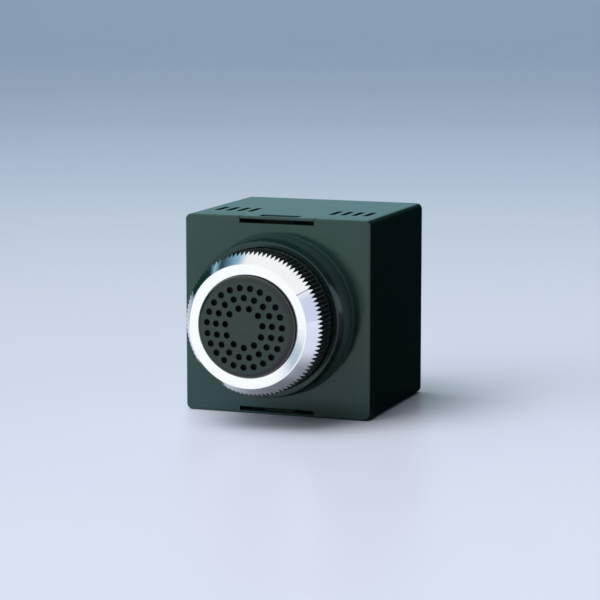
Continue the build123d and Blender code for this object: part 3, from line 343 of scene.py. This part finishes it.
# Pairs are places in metres, where a mask starts and where it is full.
collar_black = (0.006, 0.017, 0.018)
collar_radius = 0.0403
collar_proud = (0.0001, 0.0006)
collar_spare = 0.0010
collar_soft = 0.0005
corner_sunk = (-0.0004, -0.0001)    # the matt line where the collar rises from the face
corner_inside = (-0.0008, 0.0)
corner_width = 0.0012
corner_soft = 0.0006
corner_matt = 0.5
# Painted shade: the insides of the tongues' slots are painted nearly black, where shade falls.
slot_shade_black = (0.002, 0.004, 0.004)
slot_half_width = 0.0200
slot_top = (0.0012, 0.0014)         # from the box's upper or lower side
slot_bottom = 0.0040
slot_sunk = (0.0002, 0.0008)        # from the face
slot_depth = 0.0120
slot_soft = 0.0002
slot_depth_soft = 0.0005
slot_matt = 0.6


def dress(node, material):
    """Gives a CAD solid its finish."""
    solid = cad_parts[node]
    solid.data.materials.clear()
    solid.data.materials.append(material)


def about_dial(f, where):
    """Distance of a point from the dial's axis."""
    across, _, up = f.parts(where)
    rise = up - axis_height
    return (across * across + rise * rise) ** 0.5


def moulded(name, roughness):
    """The box's green plastic: dust, black collar, matt corner, painted shade in the slots."""
    material, f, shader = new_finish(name, IOR=1.52, Specular_Tint=green_sheen)
    where = f.place()
    cloud = f.grain(where, scale=28.0, detail=3.0)
    spark = f.grain(where, scale=5200.0, detail=2.0, roughness=0.6)
    flow = f.grain(where, scale=160.0, detail=2.0)
    _, _, facing_up = f.parts(f.node("ShaderNodeNewGeometry", out="Normal"))
    specks = f.grain(where, scale=900.0, detail=4.0, roughness=0.7).rise(*dust_specks)
    settled = facing_up.rise(*dust_slope) * specks * dust_share
    across, back, up = f.parts(where)
    ahead = -back - face_front
    radius = about_dial(f, where)
    collar = ahead.rise(*collar_proud)
    collar = collar * (collar_radius + collar_spare - radius).rise(0.0, collar_soft)
    corner = ahead.rise(*corner_sunk) * (radius - collar_radius).rise(*corner_inside)
    corner = corner * (collar_radius + corner_width - radius).rise(0.0, corner_soft)
    from_side = half_height - abs(up - half_height)
    slot_shade = (slot_half_width - abs(across)).rise(0.0, slot_soft) * from_side.rise(*slot_top)
    slot_shade = slot_shade * (slot_bottom - from_side).rise(0.0, slot_soft) * (-ahead).rise(*slot_sunk)
    slot_shade = slot_shade * (slot_depth + ahead).rise(0.0, slot_depth_soft)
    roughness = roughness + 0.03 * cloud + 0.02 * flow + 0.2 * settled
    roughness = roughness + slot_matt * slot_shade + corner_matt * corner
    tone = f.mix(cloud.rise(*worn_clouds), box_green, box_green_worn)
    tone = f.mix(settled, tone, dust)
    tone = f.mix(collar, tone, collar_black)
    f.plug(shader, {
        "Base Color": f.mix(slot_shade, tone, slot_shade_black),
        "Roughness": roughness,
        "Normal": f.relief(spark + 0.6 * flow, depth=0.000012, strength=0.55),
    })
    return material


dress("housing", moulded("housing plastic", housing_roughness))
dress("front_cover", moulded("cover plastic", cover_roughness))

# Foam rubber frame in the joint between them, black and matt.
rubber, f, shader = new_finish("gasket rubber", Base_Color=(0.012, 0.012, 0.013))
pores = f.grain(f.place(), scale=3500.0, detail=3.0, roughness=0.7)
f.plug(shader, {
    "Roughness": 0.75 + 0.2 * pores,
    "Normal": f.relief(pores, depth=0.00004, strength=0.6),
})
dress("cover_gasket", rubber)

# ------------------------------------------------------------------ dial

# Knurled ring: aluminium turned on a lathe, straight-knurled and anodised black. The tips of the
# teeth are rubbed a little brighter by hands, and the same lighter grey is a painted highlight:
# glints of light on the teeth.
tip_radius = 0.0356
rub_glint_depth = 0.00035
rub_glint_patches = (0.35, 0.8)
rub_glint_share = 0.7
anodised_black = (0.006, 0.012, 0.013)
# Lighter grey on the tips: rubbing, and painted glints of light.
rubbed_glint_grey = (0.10, 0.13, 0.13)


def lathe_lines(f, radius, to_the_metre, detail):
    """Fine rings that the lathe left, at a point's distance from the dial's axis."""
    return f.node(
        "ShaderNodeTexNoise",
        {"noise_dimensions": "1D"},
        {"W": radius * to_the_metre, "Scale": 1.0, "Detail": detail},
    )


material, f, shader = new_finish("black anodising", IOR=1.6)
where = f.place()
radius = about_dial(f, where)
patches = f.grain(where, scale=700.0, detail=3.0).rise(*rub_glint_patches)
rub_glint = radius.rise(tip_radius - rub_glint_depth, tip_radius) * patches
turned = lathe_lines(f, radius, to_the_metre=9000.0, detail=2.0)
relief = turned + 0.3 * f.grain(where, scale=4200.0)
f.plug(shader, {
    "Base Color": f.mix(rub_glint * rub_glint_share, anodised_black, rubbed_glint_grey),
    "Roughness": 0.26 + 0.10 * turned,
    "Normal": f.relief(relief, depth=0.000008, strength=0.5),
})
dress("knurled_ring", material)

# Trim ring: aluminium, turned to a double cone and polished, with fine lathe lines round it and
# an index line engraved down the outer cone and filled with grey.
silver_bright = (0.92, 0.92, 0.94)
silver_hazed = (0.84, 0.86, 0.89)
index_grey = (0.36, 0.41, 0.45)
index_turn = radians(57.0)          # clockwise from the top
index_start = (0.0300, 0.0305)      # from the dial's axis
index_half_width = 0.00030
index_soft = 0.00004
material, f, shader = new_finish("polished aluminium", Metallic=1.0)
where = f.place()
radius = about_dial(f, where)
lines = lathe_lines(f, radius, to_the_metre=14000.0, detail=3.0)
haze = f.grain(where, scale=120.0, detail=4.0)
across, _, up = f.parts(where)
rise = up - axis_height
along = across * sin(index_turn) + rise * cos(index_turn)
beside = across * cos(index_turn) - rise * sin(index_turn)
index_line = along.rise(*index_start) * (index_half_width - abs(beside)).rise(0.0, index_soft)
silver = f.mix(haze, silver_bright, silver_hazed)
f.plug(shader, {
    "Base Color": f.mix(index_line, silver, index_grey),
    "Roughness": 0.05 + 0.04 * lines + 0.03 * haze,
    "Normal": f.relief(lines, depth=0.0000015, strength=0.6),
})
dress("trim_ring", material)

resin_shadow = 0.82          # the darker clouds, as a share of the colour
metal_shadow = 0.78


def resin(name, colour, matt):
    """Plain plastic, board or paper of the hidden pieces, faintly clouded."""
    material, f, shader = new_finish(name)
    where = f.place()
    cloud = f.grain(where, scale=220.0, detail=3.0)
    darker = tuple(resin_shadow * c for c in colour)
    f.plug(shader, {
        "Base Color": f.mix(cloud, colour, darker),
        "Roughness": matt + 0.12 * cloud,
        "Normal": f.relief(f.grain(where, scale=4200.0), depth=0.00001, strength=0.5),
    })
    return material


def plated(name, colour=(0.60, 0.61, 0.60), matt=0.34, squeeze=(1.0, 1.0, 14.0)):
    """Bare or plated metal. Faint lines cross the axis along which the pattern is squeezed."""
    material, f, shader = new_finish(name, Metallic=1.0)
    along = f.node("ShaderNodeMapping", {}, {"Vector": f.place(), "Scale": squeeze})
    drawn = f.grain(along, scale=260.0, detail=4.0)
    bloom = f.grain(f.place(), scale=600.0, detail=3.0)
    darker = tuple(metal_shadow * c for c in colour)
    f.plug(shader, {
        "Base Color": f.mix(bloom, colour, darker),
        "Roughness": matt + 0.16 * drawn,
        "Normal": f.relief(drawn, depth=0.000008, strength=0.5),
    })
    return material


# Acetal washer and gear on the dial's journal, cream white and waxy, with their steel screws.
acetal = resin("acetal", (0.80, 0.79, 0.72), matt=0.38)
zinc = plated("zinc-plated steel")
dress("friction_washer", acetal)
dress("dial_gear", acetal)
dress("gear_screws", zinc)

# ------------------------------------------------------------------ push disc

# Perforated cap, injection moulded in a satin dark grey-green plastic. Its skirt runs in the
# middle of the dial. Its rim is smoother, and painted nearly black as painted shade where it
# meets the trim ring's bore.
disc_green = (0.0085, 0.0250, 0.0225)
disc_green_light = (0.0110, 0.0300, 0.0275)
# Painted shade: the rim's dark crescent next to the trim ring.
rim_shade_black = (0.003, 0.009, 0.009)
rim_start = (0.0218, 0.0232)        # from the dial's axis
rim_smooth = 0.22
material, f, shader = new_finish("disc plastic", IOR=1.5)
where = f.place()
cloud = f.grain(where, scale=60.0, detail=3.0)
spark = f.grain(where, scale=4600.0, detail=2.0, roughness=0.65)
rim = about_dial(f, where).rise(*rim_start)
tone = f.mix(cloud, disc_green, disc_green_light)
f.plug(shader, {
    "Base Color": f.mix(rim, tone, rim_shade_black),
    "Roughness": 0.40 + 0.08 * cloud - rim_smooth * rim,
    "Normal": f.relief(spark, depth=0.000018, strength=0.6),
})
dress("push_disc", material)

# Dust mesh behind the holes: black woven cloth, held by a plain black ring.
mesh_black = (0.001, 0.002, 0.002)
thread_grey = (0.006, 0.009, 0.009)
thread_scale = 180.0                # a thread every 1.7 mm
material, f, shader = new_finish("dust mesh", Roughness=0.9)
where = f.place()
warp, weft = (
    f.node(
        "ShaderNodeTexWave",
        {"bands_direction": direction},
        {"Vector": where, "Scale": thread_scale, "Distortion": 0.4},
    )
    for direction in ("X", "Z")
)
weave = warp.larger(weft)
f.plug(shader, {
    "Base Color": f.mix(weave, mesh_black, thread_grey),
    "Normal": f.relief(weave, depth=0.00008),
})
dress("dust_mesh", material)
black_resin = resin("black plastic", (0.018, 0.019, 0.020), matt=0.42)
dress("mesh_clamp", black_resin)

# Return spring of drawn square wire.
dress("return_spring", plated("spring steel", (0.42, 0.42, 0.44), matt=0.28))

# ------------------------------------------------------------------ guide tube

# Black moulded tube, screwed to the chassis, that stands still in the middle of the dial. The disc
# slides in it, and a snap ring on its front keeps the disc in.
dress("guide_tube", black_resin)
dress("disc_retainer", black_resin)
dress("tube_screws", zinc)

# ------------------------------------------------------------------ switch

# Small sealed push switch in the hub on the guide tube's arms, behind the disc's boss: a black
# moulded case and a cream acetal plunger.
dress("switch_body", resin("switch case", (0.020, 0.020, 0.022), matt=0.35))
dress("switch_plunger", acetal)

# ------------------------------------------------------------------ chassis

# Pressed sheet steel plate, zinc plated and screwed to the cover's posts. It carries the guide
# tube, the loudspeaker and the potentiometer.
plated_sheet = plated("plated sheet", (0.62, 0.63, 0.61), matt=0.36, squeeze=(14.0, 1.0, 1.0))
dress("chassis_plate", plated_sheet)
dress("chassis_screws", zinc)

# ------------------------------------------------------------------ loudspeaker

# Pressed steel basket screwed to the chassis, with a pleated surround, a paper cone and a copper
# coil that hangs in a corrugated cloth spider, in the gap of a ferrite magnet between steel plates.
dress("speaker_frame", plated("basket steel", (0.50, 0.50, 0.49), matt=0.38))
dress("speaker_top_plate", zinc)
dress("speaker_yoke", zinc)
dress("speaker_screws", zinc)
dress("speaker_magnet", resin("ferrite", (0.055, 0.056, 0.060), matt=0.55))
dress("speaker_gasket", resin("gasket board", (0.10, 0.085, 0.06), matt=0.8))
dress("speaker_surround", resin("surround cloth", (0.020, 0.020, 0.022), matt=0.8))
dress("speaker_cone", resin("cone paper", (0.035, 0.035, 0.040), matt=0.85))
dress("speaker_damper", resin("spider cloth", (0.45, 0.26, 0.09), matt=0.8))
copper_wire = plated("enamelled copper", (0.72, 0.32, 0.16), matt=0.30, squeeze=(1.0, 60.0, 1.0))
dress("voice_coil", copper_wire)

# ------------------------------------------------------------------ potentiometer

# Blue moulded case with a steel shaft, fixed to the chassis by a steel nut. The acetal pinion that
# meets the dial's gear is held on the shaft by a grub screw.
dress("pot_body", resin("potentiometer case", (0.012, 0.045, 0.20), matt=0.3))
dress("pot_nut", zinc)
dress("pot_shaft", plated("shaft steel", (0.58, 0.58, 0.58), matt=0.22, squeeze=(1.0, 14.0, 1.0)))
dress("pot_pinion", acetal)
dress("pinion_screw", zinc)

# ------------------------------------------------------------------ circuit board

# Glass-fibre board under green solder resist, screwed to the back wall's standoffs. It carries the
# terminal block, the amplifier on its aluminium heat sink, capacitors, a relay and a control chip.
dress("main_board", resin("solder resist", (0.010, 0.085, 0.030), matt=0.28))
dress("board_screws", zinc)
dress("terminal_block", resin("terminal block", (0.015, 0.20, 0.06), matt=0.4))
dress("terminal_screws", zinc)
sink_metal = plated("sink aluminium", (0.66, 0.67, 0.69), matt=0.32, squeeze=(1.0, 18.0, 1.0))
dress("heat_sink", sink_metal)
dress("amplifier_chip", resin("amplifier case", (0.016, 0.016, 0.018), matt=0.45))
dress("capacitors", resin("capacitor sleeve", (0.015, 0.025, 0.09), matt=0.25))
dress("relay", resin("relay case", (0.02, 0.09, 0.30), matt=0.3))
dress("control_chip", resin("chip case", (0.014, 0.014, 0.016), matt=0.5))

# ------------------------------------------------------------------ cable entry

# Soft black rubber grommet, pushed into the hole in the back wall and flush with it. A cable goes
# through its bore.
dress("cable_grommet", rubber)
